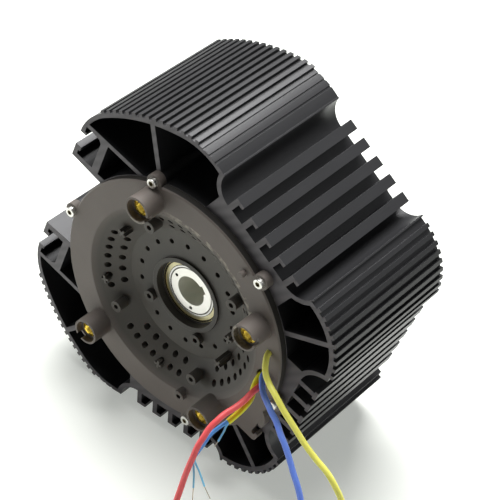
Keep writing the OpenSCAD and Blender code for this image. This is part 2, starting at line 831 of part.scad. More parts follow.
module ball_cage() {
    half_t = 0.45;
    color("#d9c9a0") translate([0, 0, -bearing_w / 2]) difference() {
        slab(-2.3, 2.3) difference() {
            circle(pitch_r + half_t);
            circle(pitch_r - half_t);
        }
        for (k = [0:balls - 1])
            rotate(k * 360 / balls) translate([pitch_r, 0, 0]) rotate([0, 90, 0])
                cylinder(r = ball_d / 2 + running_fit, h = 4 * half_t, center = true);
    }
}

module shields() {
    color("#cfc59a") for (z = [-0.6, 0.3 - bearing_w])
        slab(z, z + 0.3) difference() {
            circle(bearing_d / 2 - race_t, $fn = 96);
            circle(shaft_d / 2 + race_t + seat_gap, $fn = 96);
        }
}

module at_front_bearing() {
    on_axis() translate([0, 0, bearing_front]) children();
}

module at_rear_bearing() {
    on_axis() translate([0, 0, rear_face - bearing_front]) mirror([0, 0, 1]) children();
}

module front_outer_race() at_front_bearing() outer_race();
module front_inner_race() at_front_bearing() inner_race();
module front_balls() at_front_bearing() ball_set();
module front_ball_cage() at_front_bearing() ball_cage();
module front_bearing_shields() at_front_bearing() shields();
module rear_outer_race() at_rear_bearing() outer_race();
module rear_inner_race() at_rear_bearing() inner_race();
module rear_balls() at_rear_bearing() ball_set();
module rear_ball_cage() at_rear_bearing() ball_cage();
module rear_bearing_shields() at_rear_bearing() shields();

// Spring washer, shown flat as it is under load, between the rear outer race and the cover's lip
module wave_washer() {
    color("#77787a") at_rear_bearing() slab(-bearing_w - washer_t, -bearing_w) difference() {
        circle(bearing_d / 2 - seat_gap);
        circle(lip_r + 0.4);
    }
}

// Round tube swept along points: each ring stands square to the way the route runs there
function unit(v) = v / norm(v);
function heading_at(p, i) = unit(p[min(i + 1, len(p) - 1)] - p[max(i - 1, 0)]);
function across(t) = unit(cross(t, [1, 1, 0]));
function ring(c, t, r, n) = let (u = across(t), w = cross(t, u))
    [for (k = [0:n - 1]) c + r * (cos(360 * k / n) * u + sin(360 * k / n) * w)];

module tube(route, d, sides) {
    n = sides;
    last = len(route) - 1;
    points = [for (i = [0:last]) each ring(route[i], heading_at(route, i), d / 2, n)];
    walls = [for (i = [0:last - 1], k = [0:n - 1])
        [i * n + k, i * n + (k + 1) % n, (i + 1) * n + (k + 1) % n, (i + 1) * n + k]];
    polyhedron(points, concat(walls, [[for (k = [n - 1:-1:0]) k]], [[for (k = [0:n - 1]) last * n + k]]));
}

module yellow_phase_wire() color("#f2e93c") tube(yellow_route, wire_d, 10);
module blue_phase_wire() color("#4a72e0") tube(blue_route, wire_d, 10);
module red_phase_wire() color("#e8484e") tube(red_route, wire_d, 10);
module sensor_sleeve() color("#f2e93c") tube(sleeve_route, wire_d, 10);
module sensor_inner_sleeve() color("#4a72e0") tube(inner_sleeve_route, sleeve_d, 8);
module sensor_lead_a() color("#6ec8fa") tube(lead_a_route, lead_d, 8);
module sensor_lead_b() color("#6ec8fa") tube(lead_b_route, lead_d, 8);
module sensor_lead_c() color("#6ec8fa") tube(lead_c_route, lead_d, 8);

// Place of a coil's tail: its height runs along the wire, which leaves the top layer and dips
module at_tail(coil) {
    translate([coil[0], coil[1], coil_base + coil_h - wire_d / 2]) rotate(coil[2])
        translate([coil_r, 0, 0]) rotate([-90 - tail_dip, 0, 0]) children();
}

// Neat round coil of the length of wire that is put away, with its tail
module wire_coil(coil) {
    translate([coil[0], coil[1], coil_base + coil_h / 2]) rotate_extrude($fn = 64)
        translate([coil_r, 0]) round_rect(wire_d, coil_h, wire_d / 2 - 0.1);
    at_tail(coil) cylinder(d = wire_d, h = tail_l, $fn = 32);
}

module yellow_wire_coil() color("#f2e93c") wire_coil(yellow_coil);
module blue_wire_coil() color("#4a72e0") wire_coil(blue_coil);
module red_wire_coil() color("#e8484e") wire_coil(red_coil);

module coil_ties() {
    color("#222222")
        for (coil = [yellow_coil, blue_coil, red_coil])
            translate([coil[0], coil[1], coil_base + coil_h / 2]) rotate(coil[3])
                translate([coil_r, 0, 0]) rotate([90, 0, 0]) translate([0, 0, -tie_w / 2])
                    linear_extrude(tie_w) difference() {
                        round_rect(wire_d + 2 * tie_t + 0.6, coil_h + 2 * tie_t, 2);
                        round_rect(wire_d + 0.6, coil_h + 0.2, 1.4);
                    }
}

module ring_terminals() {
    color("#c9c7c2")
        for (coil = [yellow_coil, blue_coil, red_coil])
            at_tail(coil) translate([0, 0, tail_l]) {
                cylinder(d = barrel_d, h = barrel_l, $fn = 32);
                translate([0, eye_t / 2, barrel_l + eye_d / 2 - 1]) rotate([90, 0, 0])
                    linear_extrude(eye_t) difference() {
                        union() {
                            circle(eye_d / 2, $fn = 48);
                            translate([-barrel_d / 2, -eye_d / 2]) square([barrel_d, eye_d / 2]);
                        }
                        circle(eye_bore / 2, $fn = 32);
                    }
            }
}

housing();
front_cover();
rear_cover();
front_screws();
rear_screws();
brass_inserts();
stator_core();
front_insulator();
rear_insulator();
windings_u();
windings_v();
windings_w();
connection_board();
hall_board();
hall_sensors();
sensor_magnet();
rotor_core();
magnets();
shaft();
front_outer_race();
front_inner_race();
front_balls();
front_ball_cage();
front_bearing_shields();
rear_outer_race();
rear_inner_race();
rear_balls();
rear_ball_cage();
rear_bearing_shields();
wave_washer();
yellow_phase_wire();
blue_phase_wire();
red_phase_wire();
yellow_wire_coil();
blue_wire_coil();
red_wire_coil();
coil_ties();
ring_terminals();
sensor_sleeve();
sensor_inner_sleeve();
sensor_lead_a();
sensor_lead_b();
sensor_lead_c();
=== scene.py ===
import math

import bmesh
import bpy
from mathutils import Matrix, Vector


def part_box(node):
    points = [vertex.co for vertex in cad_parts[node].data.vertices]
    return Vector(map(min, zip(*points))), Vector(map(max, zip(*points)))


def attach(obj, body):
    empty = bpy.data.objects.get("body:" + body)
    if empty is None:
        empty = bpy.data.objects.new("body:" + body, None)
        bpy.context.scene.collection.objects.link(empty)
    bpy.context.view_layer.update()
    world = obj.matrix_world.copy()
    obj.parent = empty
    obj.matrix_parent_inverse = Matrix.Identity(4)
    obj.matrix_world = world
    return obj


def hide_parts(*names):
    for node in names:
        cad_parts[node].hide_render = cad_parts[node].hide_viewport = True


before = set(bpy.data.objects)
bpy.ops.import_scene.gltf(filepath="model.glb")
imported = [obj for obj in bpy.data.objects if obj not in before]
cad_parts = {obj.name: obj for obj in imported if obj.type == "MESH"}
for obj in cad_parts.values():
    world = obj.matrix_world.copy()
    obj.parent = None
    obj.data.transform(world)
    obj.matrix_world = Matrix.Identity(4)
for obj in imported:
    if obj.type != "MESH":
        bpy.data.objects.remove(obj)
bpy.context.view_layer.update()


# Housing: one aluminium extrusion with fins, hollow lobes and two T-slots, sawn to length and then
# anodised black. The long faces are satin with faint die lines along the shaft; the sawn ends are
# duller and show the blade's arcs, drawn coarser than they are.
sawn_front, sawn_rear = (corner[1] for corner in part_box("housing"))
die_line, saw_line, side_cloud = 0.0009, 0.0069, 0.03
saw_shift = (0.6, 0, -0.9)
line_h, edge_round = 0.00002, 0.0003
face_slack = 0.0001  # how far a mask's limit lies from the face that it is for
wave_unit = 0.314  # length of one band of a wave texture at scale 1


def linear(code):
    """Turns an sRGB hex colour into linear red, green, blue and alpha."""
    channels = [int(code[i:i + 2], 16) / 255 for i in (1, 3, 5)]
    return (*(c / 12.92 if c <= 0.04045 else ((c + 0.055) / 1.055) ** 2.4 for c in channels), 1)


def add_node(tree, kind, settings=None, inputs=None):
    """Adds one node; an input given as a socket is linked, and any other is set."""
    made = tree.nodes.new(kind)
    for name, value in (settings or {}).items():
        setattr(made, name, value)
    for name, value in (inputs or {}).items():
        if isinstance(value, bpy.types.NodeSocket):
            tree.links.new(value, made.inputs[name])
        else:
            made.inputs[name].default_value = value
    return made


def start_finish(name):
    """Starts a material: gives it, its tree, its shader and the place on the piece."""
    material = bpy.data.materials.new(name)
    material.use_nodes = True
    tree = material.node_tree
    tree.nodes.clear()
    shader = add_node(tree, "ShaderNodeBsdfPrincipled")
    add_node(tree, "ShaderNodeOutputMaterial", inputs={"Surface": shader.outputs["BSDF"]})
    place = add_node(tree, "ShaderNodeTexCoord").outputs["Object"]
    return material, tree, shader, place


def coat(node_name, material):
    """Gives a CAD piece one material all over."""
    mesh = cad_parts[node_name].data
    mesh.materials.clear()
    mesh.materials.append(material)
    mesh.polygons.foreach_set("material_index", [0] * len(mesh.polygons))


anodised, tree, shader, place = start_finish("black_anodised_extrusion")
parts = add_node(tree, "ShaderNodeSeparateXYZ", inputs={"Vector": place})
behind = add_node(tree, "ShaderNodeMath", {"operation": "GREATER_THAN"},
                  {0: parts.outputs["Y"], 1: sawn_front + face_slack})
before = add_node(tree, "ShaderNodeMath", {"operation": "LESS_THAN"},
                  {0: parts.outputs["Y"], 1: sawn_rear - face_slack})
side_face = add_node(tree, "ShaderNodeMath", {"operation": "MULTIPLY"},
                     {0: behind.outputs[0], 1: before.outputs[0]}).outputs[0]
stretch = add_node(tree, "ShaderNodeMapping", inputs={"Vector": place, "Scale": (1, 0.02, 1)})
die = add_node(tree, "ShaderNodeTexNoise",
               inputs={"Vector": stretch.outputs[0], "Scale": 1 / die_line, "Detail": 2, "Roughness": 0.6})
cloud = add_node(tree, "ShaderNodeTexNoise", inputs={"Vector": place, "Scale": 1 / side_cloud, "Detail": 3})
saw_turn = add_node(tree, "ShaderNodeMapping",
                    inputs={"Vector": place, "Location": saw_shift, "Scale": (1, 0, 1)})
saw = add_node(tree, "ShaderNodeTexWave", {"wave_type": "RINGS", "rings_direction": "SPHERICAL"},
               {"Vector": saw_turn.outputs[0], "Scale": wave_unit / saw_line, "Distortion": 1.2,
                "Detail": 3, "Detail Scale": 0.6})
side_tone = add_node(tree, "ShaderNodeMix", {"data_type": "RGBA"},
                     {0: cloud.outputs["Fac"], 6: linear("#242425"), 7: linear("#2c2c2e")})
end_tone = add_node(tree, "ShaderNodeMix", {"data_type": "RGBA"},
                    {0: saw.outputs["Fac"], 6: linear("#4c494c"), 7: linear("#595659")})
tone = add_node(tree, "ShaderNodeMix", {"data_type": "RGBA"},
                {0: side_face, 6: end_tone.outputs[2], 7: side_tone.outputs[2]})
tree.links.new(tone.outputs[2], shader.inputs["Base Color"])
side_shine = add_node(tree, "ShaderNodeMapRange",
                      inputs={"Value": die.outputs["Fac"], "To Min": 0.34, "To Max": 0.46})
shine = add_node(tree, "ShaderNodeMix", inputs={0: side_face, 2: 0.55, 3: side_shine.outputs[0]})
tree.links.new(shine.outputs[0], shader.inputs["Roughness"])
relief = add_node(tree, "ShaderNodeMix",
                  inputs={0: side_face, 2: saw.outputs["Fac"], 3: die.outputs["Fac"]})
rounded = add_node(tree, "ShaderNodeBevel", {"samples": 4}, {"Radius": edge_round})
bump = add_node(tree, "ShaderNodeBump",
                inputs={"Height": relief.outputs[0], "Distance": line_h, "Strength": 0.6,
                        "Normal": rounded.outputs[0]})
tree.links.new(bump.outputs[0], shader.inputs["Normal"])
shader.inputs["Metallic"].default_value = 0.25
coat("housing", anodised)

# Stator and rotor cores: stacks of half-millimetre electrical steel sheets, stamped and baked
# together. The sheets' edges show as fine rings round the stack, drawn twice as coarse as they are.
sheet_ring, sheet_edge, grime_size = 0.001, 0.00008, 0.006

laminations, tree, shader, place = start_finish("stacked_electrical_steel")
sheets = add_node(tree, "ShaderNodeTexWave", {"wave_type": "BANDS", "bands_direction": "Y"},
                  {"Vector": place, "Scale": wave_unit / sheet_ring})
grime = add_node(tree, "ShaderNodeTexNoise", inputs={"Vector": place, "Scale": 1 / grime_size, "Detail": 4})
tone = add_node(tree, "ShaderNodeMix", {"data_type": "RGBA"},
                {0: grime.outputs["Fac"], 6: linear("#77797c"), 7: linear("#94969a")})
tree.links.new(tone.outputs[2], shader.inputs["Base Color"])
bump = add_node(tree, "ShaderNodeBump", inputs={"Height": sheets.outputs["Fac"], "Distance": sheet_edge})
tree.links.new(bump.outputs[0], shader.inputs["Normal"])
shader.inputs["Metallic"].default_value = 0.9
shader.inputs["Roughness"].default_value = 0.42
coat("stator_core", laminations)
coat("rotor_core", laminations)

# Insulators and ball cages: moulded natural polyamide, pale, slightly see-through looking and matt.
# The insulators are pushed over the stack's ends to keep the wire off the steel.
nylon_grain, nylon_grain_h = 0.0012, 0.00003

natural_nylon, tree, shader, place = start_finish("natural_polyamide")
grain = add_node(tree, "ShaderNodeTexNoise", inputs={"Vector": place, "Scale": 1 / nylon_grain, "Detail": 3})
tone = add_node(tree, "ShaderNodeMix", {"data_type": "RGBA"},
                {0: grain.outputs["Fac"], 6: linear("#ddd6c0"), 7: linear("#e9e3d0")})
tree.links.new(tone.outputs[2], shader.inputs["Base Color"])
bump = add_node(tree, "ShaderNodeBump", inputs={"Height": grain.outputs["Fac"], "Distance": nylon_grain_h})
tree.links.new(bump.outputs[0], shader.inputs["Normal"])
shader.inputs["Roughness"].default_value = 0.5
for name in ("front_insulator", "rear_insulator", "front_ball_cage", "rear_ball_cage"):
    coat(name, natural_nylon)

# Windings: enamelled copper wire, wound turn beside turn round each tooth and varnished. The turns
# are drawn as ridges a wire's thickness apart, and the grooves between them are painted darker as shade.
magnet_wire, ridge_h = 0.0011, 0.0003

enamelled, tree, shader, place = start_finish("enamelled_copper")
flat = add_node(tree, "ShaderNodeMapping", inputs={"Vector": place, "Scale": (1, 0, 1)})
turns = add_node(tree, "ShaderNodeTexWave", {"wave_type": "RINGS", "rings_direction": "Y"},
                 {"Vector": flat.outputs[0], "Scale": wave_unit / magnet_wire, "Distortion": 0.3})
ridge = add_node(tree, "ShaderNodeBump", inputs={"Height": turns.outputs["Fac"], "Distance": ridge_h})
# painted shade: the grooves between the turns take the dark colour, the ridges the copper's own
tone = add_node(tree, "ShaderNodeMix", {"data_type": "RGBA"},
                {0: turns.outputs["Fac"], 6: linear("#6b2f12"), 7: linear("#c07038")})
tree.links.new(tone.outputs[2], shader.inputs["Base Color"])
tree.links.new(ridge.outputs[0], shader.inputs["Normal"])
shader.inputs["Metallic"].default_value = 0.8
shader.inputs["Roughness"].default_value = 0.3
shader.inputs["Coat Weight"].default_value = 0.4
for name in ("windings_u", "windings_v", "windings_w"):
    coat(name, enamelled)

# Boards: rings of glass-fibre circuit board under green solder mask, glossy with a faint weave. One
# joins the windings and the wires, the other carries the position sensors.
weave_size, epoxy_grain = 0.0016, 0.0004

solder_mask, tree, shader, place = start_finish("green_solder_mask")
cloth = add_node(tree, "ShaderNodeTexVoronoi", inputs={"Vector": place, "Scale": 1 / weave_size})
tone = add_node(tree, "ShaderNodeMix", {"data_type": "RGBA"},
                {0: cloth.outputs["Distance"], 6: linear("#1a472e"), 7: linear("#2a6340")})
tree.links.new(tone.outputs[2], shader.inputs["Base Color"])
shader.inputs["Roughness"].default_value = 0.28
coat("connection_board", solder_mask)
coat("hall_board", solder_mask)

# The sensors and the magnet that they read are moulded in black epoxy, matt and even.
sensor_body, tree, shader, place = start_finish("moulded_epoxy")
grain = add_node(tree, "ShaderNodeTexNoise", inputs={"Vector": place, "Scale": 1 / epoxy_grain})
tone = add_node(tree, "ShaderNodeMix", {"data_type": "RGBA"},
                {0: grain.outputs["Fac"], 6: linear("#18181a"), 7: linear("#252528")})
tree.links.new(tone.outputs[2], shader.inputs["Base Color"])
shader.inputs["Roughness"].default_value = 0.6
coat("hall_sensors", sensor_body)
coat("sensor_magnet", sensor_body)

# Magnets: sintered blocks, nickel plated, glued round the rotor's core. The plating is bright but
# pitted, so its shine varies.
pit_size = 0.0015

nickel, tree, shader, place = start_finish("nickel_plating")
pits = add_node(tree, "ShaderNodeTexNoise", inputs={"Vector": place, "Scale": 1 / pit_size, "Detail": 4})
shine = add_node(tree, "ShaderNodeMapRange",
                 inputs={"Value": pits.outputs["Fac"], "To Min": 0.22, "To Max": 0.42})
tree.links.new(shine.outputs[0], shader.inputs["Roughness"])
shader.inputs["Base Color"].default_value = linear("#b9b6ae")
shader.inputs["Metallic"].default_value = 1
coat("magnets", nickel)

# Shaft: hollow carbon steel, turned and ground, with a keyway broached through its bore. Its face is
# bright with the lathe tool's rings, drawn coarser than they are. The bore is painted near-white and made
# nearly non-metallic: a painted reflection standing in for the bright light that a polished bore shows.
bore_r = 0.011
feed_ring, feed_h, smear_size = 0.0008, 0.000012, 0.008


def off_axis(tree, place):
    """Gives the place without its part along the shaft, and its distance from the shaft's axis."""
    flat = add_node(tree, "ShaderNodeMapping", inputs={"Vector": place, "Scale": (1, 0, 1)})
    reach = add_node(tree, "ShaderNodeVectorMath", {"operation": "LENGTH"}, {0: flat.outputs[0]})
    return flat.outputs[0], reach.outputs["Value"]


ground_steel, tree, shader, place = start_finish("ground_steel")
flat, from_axis = off_axis(tree, place)
rings = add_node(tree, "ShaderNodeTexWave", {"wave_type": "RINGS", "rings_direction": "Y"},
                 {"Vector": flat, "Scale": wave_unit / feed_ring, "Distortion": 0.4, "Detail": 1})
smear = add_node(tree, "ShaderNodeTexNoise", inputs={"Vector": place, "Scale": 1 / smear_size, "Detail": 3})
bright = add_node(tree, "ShaderNodeMix", {"data_type": "RGBA"},
                  {0: smear.outputs["Fac"], 6: linear("#cfcdc7"), 7: linear("#e4e2dd")})
outside_bore = add_node(tree, "ShaderNodeMath", {"operation": "GREATER_THAN"},
                        {0: from_axis, 1: bore_r + face_slack}).outputs[0]
# painted reflection: the bore's near-white colour stands in for the light a polished bore reflects
tone = add_node(tree, "ShaderNodeMix", {"data_type": "RGBA"},
                {0: outside_bore, 6: linear("#f0f0e4"), 7: bright.outputs[2]})
tree.links.new(tone.outputs[2], shader.inputs["Base Color"])
shine = add_node(tree, "ShaderNodeMapRange",
                 inputs={"Value": smear.outputs["Fac"], "To Min": 0.26, "To Max": 0.4})
tree.links.new(shine.outputs[0], shader.inputs["Roughness"])
bump = add_node(tree, "ShaderNodeBump",
                inputs={"Height": rings.outputs["Fac"], "Distance": feed_h, "Strength": 0.5})
tree.links.new(bump.outputs[0], shader.inputs["Normal"])
metal = add_node(tree, "ShaderNodeMapRange", inputs={"Value": outside_bore, "To Min": 0.1, "To Max": 1})
tree.links.new(metal.outputs[0], shader.inputs["Metallic"])
coat("shaft", ground_steel)

# Bearings: ground races and balls of chromed steel, and thin shields pressed into the outer races,
# yellowish from their passivation. The races are coloured in rings out from the axis: bright faces, dark
# rings painted as shade and dark reflection in the chamfers towards the shields and the shaft, and yellowish
# rings on the outer race's edges painted as highlights where its chamfers catch the light.
inner_edge = 0.0175
outer_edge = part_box("front_outer_race")[1][0]
grind_ring, polish_cloud, stain_size = 0.0004, 0.002, 0.004

race_steel, tree, shader, place = start_finish("ground_bearing_steel")
flat, from_axis = off_axis(tree, place)
across = add_node(tree, "ShaderNodeMapRange",
                  inputs={"Value": from_axis, "From Min": inner_edge, "From Max": outer_edge})
# painted light: the dark rings are painted shade and reflection, the yellowish rings painted highlights
bands = add_node(tree, "ShaderNodeValToRGB", inputs={"Fac": across.outputs[0]})
bands.color_ramp.interpolation = "CONSTANT"
stops = bands.color_ramp.elements
stops[0].color = linear("#3c3a36")
stops[1].color = linear("#c4b884")
for share, shade in ((0.06, "#bdbcb9"), (0.25, "#34322e"), (0.5, "#b5ab82"), (0.76, "#403e39"),
                     (0.93, "#c4b884")):
    stops.new(share).color = linear(shade)
tree.links.new(bands.outputs["Color"], shader.inputs["Base Color"])
rings = add_node(tree, "ShaderNodeTexWave", {"wave_type": "RINGS", "rings_direction": "Y"},
                 {"Vector": flat, "Scale": wave_unit / grind_ring, "Distortion": 0.2})
shine = add_node(tree, "ShaderNodeMapRange",
                 inputs={"Value": rings.outputs["Fac"], "To Min": 0.2, "To Max": 0.32})
tree.links.new(shine.outputs[0], shader.inputs["Roughness"])
shader.inputs["Metallic"].default_value = 1
for name in ("front_outer_race", "front_inner_race", "rear_outer_race", "rear_inner_race"):
    coat(name, race_steel)

# The balls are lapped until they mirror, and the spring steel washer is nearly as bright.
polished, tree, shader, place = start_finish("polished_chrome_steel")
cloud = add_node(tree, "ShaderNodeTexNoise", inputs={"Vector": place, "Scale": 1 / polish_cloud})
shine = add_node(tree, "ShaderNodeMapRange",
                 inputs={"Value": cloud.outputs["Fac"], "To Min": 0.1, "To Max": 0.2})
tree.links.new(shine.outputs[0], shader.inputs["Roughness"])
shader.inputs["Base Color"].default_value = linear("#bdbcb9")
shader.inputs["Metallic"].default_value = 1
for name in ("front_balls", "rear_balls", "wave_washer"):
    coat(name, polished)

# The shields are rolled sheet, smooth, with a cloudy yellow film.
shield_steel, tree, shader, place = start_finish("passivated_sheet_steel")
stain = add_node(tree, "ShaderNodeTexNoise", inputs={"Vector": place, "Scale": 1 / stain_size, "Detail": 3})
tone = add_node(tree, "ShaderNodeMix", {"data_type": "RGBA"},
                {0: stain.outputs["Fac"], 6: linear("#9f9876"), 7: linear("#cac3a4")})
tree.links.new(tone.outputs[2], shader.inputs["Base Color"])
shader.inputs["Metallic"].default_value = 1
shader.inputs["Roughness"].default_value = 0.3
coat("front_bearing_shields", shield_steel)
coat("rear_bearing_shields", shield_steel)

# Covers: glass-filled polyamide, moulded dark and matt, with a fine mottled grain from the fibres. The
# edges are rubbed paler, with chalky patches along the front dish's upper edge. Painted shade darkens the
# dish round the bearing, fading outwards, and the bearing's seat and the outward-facing walls of the cover's
# edge and of the collar are painted dark as shade.
cover_r, dish_edge_r = 0.0911, 0.0705
rim_start, rim_end = dish_edge_r - 0.004, dish_edge_r + 0.002
collar_r, collar_t = 0.0247, 0.0032
dish_shade_start, dish_shade_end = 0.028, 0.046
cover_grain, cover_grain_h, cover_cloud = 0.0006, 0.00003, 0.02
chalk_r, chalk_half_w, chalk_size = dish_edge_r + 0.0008, 0.0024, 0.005
chalk_way, chalk_start, chalk_end = (0.57, -1, 0.82), 0.072, 0.082
wear_round, wall_slack = 0.0005, 0.0002

glass_nylon, tree, shader, place = start_finish("glass_filled_polyamide")
grain = add_node(tree, "ShaderNodeTexNoise",
                 inputs={"Vector": place, "Scale": 1 / cover_grain, "Detail": 4, "Roughness": 0.65})
cloud = add_node(tree, "ShaderNodeTexNoise", inputs={"Vector": place, "Scale": 1 / cover_cloud, "Detail": 2})
flat, from_axis = off_axis(tree, place)
in_dish = add_node(tree, "ShaderNodeMix", {"data_type": "RGBA"},
                   {0: cloud.outputs["Fac"], 6: linear("#494640"), 7: linear("#534f49")})
# painted shade: the dish is darkened towards the collar, fading out between these radii
dish_shade = add_node(tree, "ShaderNodeMapRange",
                  inputs={"Value": from_axis, "From Min": dish_shade_start, "From Max": dish_shade_end,
                          "To Min": 0.5, "To Max": 0})
in_dish = add_node(tree, "ShaderNodeMix", {"data_type": "RGBA"},
                   {0: dish_shade.outputs[0], 6: in_dish.outputs[2], 7: linear("#24221e")})
at_rim = add_node(tree, "ShaderNodeMix", {"data_type": "RGBA"},
                  {0: cloud.outputs["Fac"], 6: linear("#665e58"), 7: linear("#726a64")})
on_rim = add_node(tree, "ShaderNodeMapRange",
                  inputs={"Value": from_axis, "From Min": rim_start, "From Max": rim_end})
unshaded_tone = add_node(tree, "ShaderNodeMix", {"data_type": "RGBA"},
                 {0: on_rim.outputs[0], 6: in_dish.outputs[2], 7: at_rim.outputs[2]})
true_normal = add_node(tree, "ShaderNodeNewGeometry").outputs["True Normal"]
outwards = add_node(tree, "ShaderNodeVectorMath", {"operation": "DOT_PRODUCT"}, {0: flat, 1: true_normal})
least = add_node(tree, "ShaderNodeMath", {"operation": "MULTIPLY"}, {0: from_axis, 1: 0.9})
faces_out = add_node(tree, "ShaderNodeMath", {"operation": "GREATER_THAN"},
                     {0: outwards.outputs["Value"], 1: least.outputs[0]})
# painted shade: the outward-facing walls of the cover's edge and of the collar are picked out to be painted
# dark
at_edge = add_node(tree, "ShaderNodeMath", {"operation": "COMPARE"},
                   {0: from_axis, 1: cover_r, 2: wall_slack})
at_collar = add_node(tree, "ShaderNodeMath", {"operation": "COMPARE"},
                     {0: from_axis, 1: collar_r + collar_t, 2: wall_slack})
walls = add_node(tree, "ShaderNodeMath", {"operation": "MAXIMUM"},
                 {0: at_edge.outputs[0], 1: at_collar.outputs[0]})
walls = add_node(tree, "ShaderNodeMath", {"operation": "MULTIPLY"},
                 {0: walls.outputs[0], 1: faces_out.outputs[0]})
# painted shade: the bearing's seat joins these walls, and all of them are painted near black below
seat = add_node(tree, "ShaderNodeMath", {"operation": "LESS_THAN"}, {0: from_axis, 1: collar_r + wall_slack})
painted_shade = add_node(tree, "ShaderNodeMath", {"operation": "MAXIMUM"}, {0: seat.outputs[0], 1: walls.outputs[0]})
tone = add_node(tree, "ShaderNodeMix", {"data_type": "RGBA"},
                {0: painted_shade.outputs[0], 6: unshaded_tone.outputs[2], 7: linear("#292622")})
speck = add_node(tree, "ShaderNodeMix", {"data_type": "RGBA", "blend_type": "OVERLAY"},
                 {0: 0.18, 6: tone.outputs[2], 7: grain.outputs["Color"]})
rounded = add_node(tree, "ShaderNodeBevel", {"samples": 6}, {"Radius": wear_round})
bend = add_node(tree, "ShaderNodeVectorMath", {"operation": "DOT_PRODUCT"},
                {0: rounded.outputs[0], 1: true_normal})
rubbed = add_node(tree, "ShaderNodeMapRange",
                  inputs={"Value": bend.outputs["Value"], "From Min": 0.98, "From Max": 0.75,
                          "To Max": 0.55})
worn = add_node(tree, "ShaderNodeMix", {"data_type": "RGBA"},
                {0: rubbed.outputs[0], 6: speck.outputs[2], 7: linear("#9a938b")})
along_edge = add_node(tree, "ShaderNodeMath", {"operation": "COMPARE"},
                      {0: from_axis, 1: chalk_r, 2: chalk_half_w})
up_and_front = add_node(tree, "ShaderNodeVectorMath", {"operation": "DOT_PRODUCT"}, {0: place, 1: chalk_way})
on_top = add_node(tree, "ShaderNodeMapRange",
                  inputs={"Value": up_and_front.outputs["Value"], "From Min": chalk_start,
                          "From Max": chalk_end})
chalk = add_node(tree, "ShaderNodeTexNoise", inputs={"Vector": place, "Scale": 1 / chalk_size, "Detail": 4})
patches = add_node(tree, "ShaderNodeMapRange",
                   inputs={"Value": chalk.outputs["Fac"], "From Min": 0.46, "From Max": 0.6, "To Max": 0.75})
chalky = add_node(tree, "ShaderNodeMath", {"operation": "MULTIPLY"},
                  {0: along_edge.outputs[0], 1: patches.outputs[0]})
chalky = add_node(tree, "ShaderNodeMath", {"operation": "MULTIPLY"},
                  {0: chalky.outputs[0], 1: on_top.outputs[0]})
tone = add_node(tree, "ShaderNodeMix", {"data_type": "RGBA"},
                {0: chalky.outputs[0], 6: worn.outputs[2], 7: linear("#a8a293")})
tree.links.new(tone.outputs[2], shader.inputs["Base Color"])
bump = add_node(tree, "ShaderNodeBump",
                inputs={"Height": grain.outputs["Fac"], "Distance": cover_grain_h, "Strength": 0.5,
                        "Normal": rounded.outputs[0]})
tree.links.new(bump.outputs[0], shader.inputs["Normal"])
shader.inputs["Roughness"].default_value = 0.6
coat("front_cover", glass_nylon)
coat("rear_cover", glass_nylon)

# Cover screws: M4 socket head cap screws, cold headed and zinc plated, six in each cover's ears. One
# screw is turned up ring by ring, with a knurled head, a rounded crown, a hexagon socket and a rolled
# thread, and is set out on a ring of places.
screw_ring_r, screw_start = 0.093, math.radians(42)
head_r, head_h, crown, knurl = 0.00352, 0.00288, 0.0006, 0.00006
socket_r, socket_w, socket_floor, lead_in = 0.00185, 0.003, 0.0014, 0.0001
socket_tip_r, socket_tip_l = 0.0006, 0.0004
head_sides, thread_sides, thread_steps = 48, 24, 6
thread_r, thread_core, thread_pitch = 0.002, 0.00165, 0.0007
screw_l, thread_top = 0.015, 0.0003
plating_cloud = 0.002


def add_rings(shape, rows, sides, radius_at):
    """Turns rows of radius and height into a skin; radius_at gives the true radius at each side."""
    rings = []
    for radius, height in rows:
        reaches = [radius_at(radius, height, k) for k in range(sides)]
        angles = [2 * math.pi * k / sides for k in range(sides)]
        rings.append([shape.verts.new((reach * math.cos(angle), -height, reach * math.sin(angle)))
                      for reach, angle in zip(reaches, angles)])
    for low_ring, high_ring in zip(rings, rings[1:]):
        for k in range(sides):
            after = (k + 1) % sides
            shape.faces.new((low_ring[k], low_ring[after], high_ring[after], high_ring[k]))
    return rings


def ridge_at(step, steps):
    """Gives the height of a thread's ridge, from 0 to 1, at a step of its turn."""
    return 1 - abs(1 - 2 * (step % steps) / steps)


def finish_turned(shape, name, material):
    """Makes a turned shape an object, smooth but for its sharp edges."""
    bmesh.ops.recalc_face_normals(shape, faces=shape.faces)
    mesh = bpy.data.meshes.new(name)
    shape.to_mesh(mesh)
    shape.free()
    mesh.materials.append(material)
    mesh.polygons.foreach_set("use_smooth", [True] * len(mesh.polygons))
    mesh.set_sharp_from_angle(angle=math.radians(35))
    made = bpy.data.objects.new(name, mesh)
    bpy.context.scene.collection.objects.link(made)
    return made


